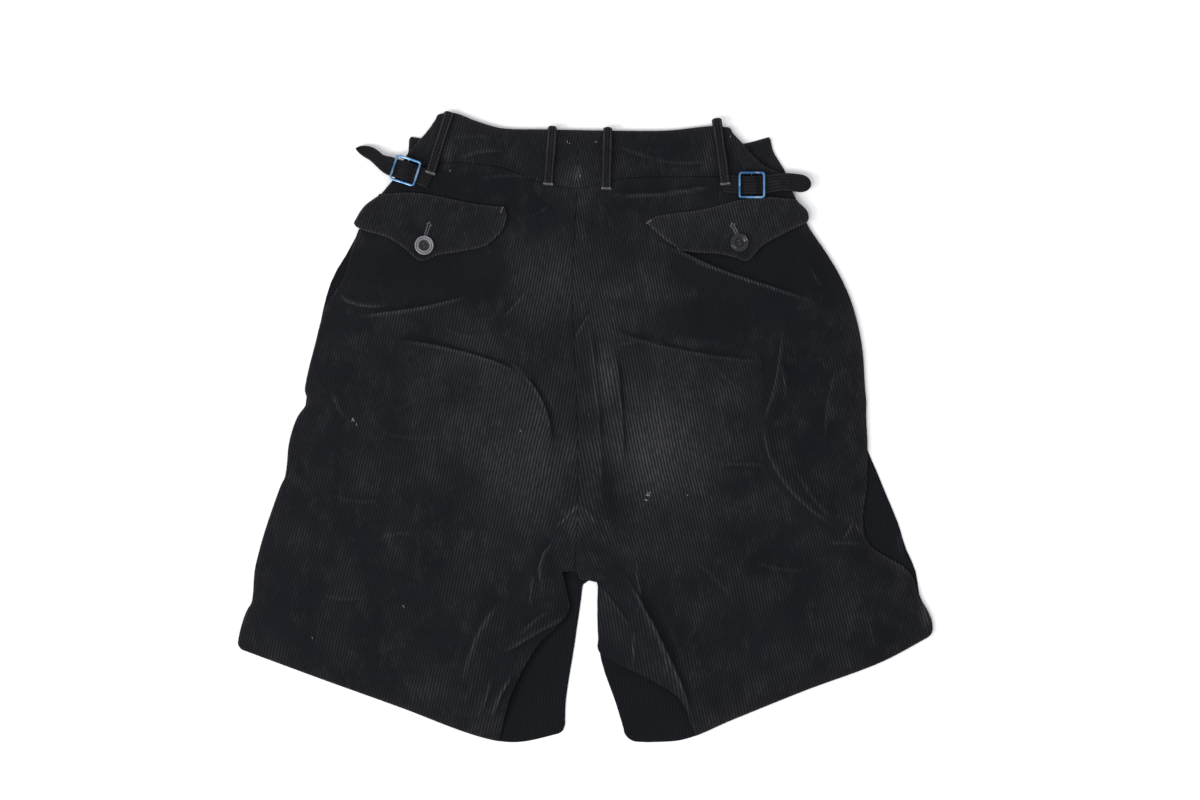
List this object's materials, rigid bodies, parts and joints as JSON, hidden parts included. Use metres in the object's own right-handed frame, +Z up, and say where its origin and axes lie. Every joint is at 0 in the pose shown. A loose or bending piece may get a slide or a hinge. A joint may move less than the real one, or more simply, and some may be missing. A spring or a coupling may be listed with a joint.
{
  "type": "corduroy shorts",
  "caption": "Wide-legged corduroy shorts laid flat with the back up: high waistband, belt loops, side adjuster straps with slide buckles, and buttoned pocket flaps.",
  "frame": {"origin": "on the surface that the shorts lie on, under the middle of their outline", "axes": "+Z up from the surface, +X across the garment to the right as seen from above, +Y from the hems to the waist"},
  "size_m": [0.626, 0.5678, 0.0136],
  "materials": {
    "corduroy": "cut pile, wales 2.7 mm apart, faded on its folds",
    "buckle": "polished, slightly blued",
    "button_pale": "pearly grey, glossy",
    "button_dark": "near black, glossy"
  },
  "bodies": {
    "root": {"back_left": "corduroy", "back_right": "corduroy", "front_left": "corduroy", "front_right": "corduroy", "waistband_back_left": "corduroy", "waistband_back_right": "corduroy", "waistband_side_left": "corduroy", "waistband_side_right": "corduroy", "waistband_front_left": "corduroy", "waistband_front_right": "corduroy", "fly": "corduroy", "pocket_flap_left": "corduroy", "pocket_flap_right": "corduroy", "belt_loop_left_side": "corduroy", "belt_loop_left_back": "corduroy", "belt_loop_right_back": "corduroy", "belt_loop_right_side": "corduroy", "adjuster_strap_left": "corduroy", "adjuster_strap_right": "corduroy", "buckle_left": "buckle", "buckle_right": "buckle", "flap_button_left": "button_pale", "flap_button_right": "button_dark", "waist_button": "button_dark"}
  },
  "joints": []
}
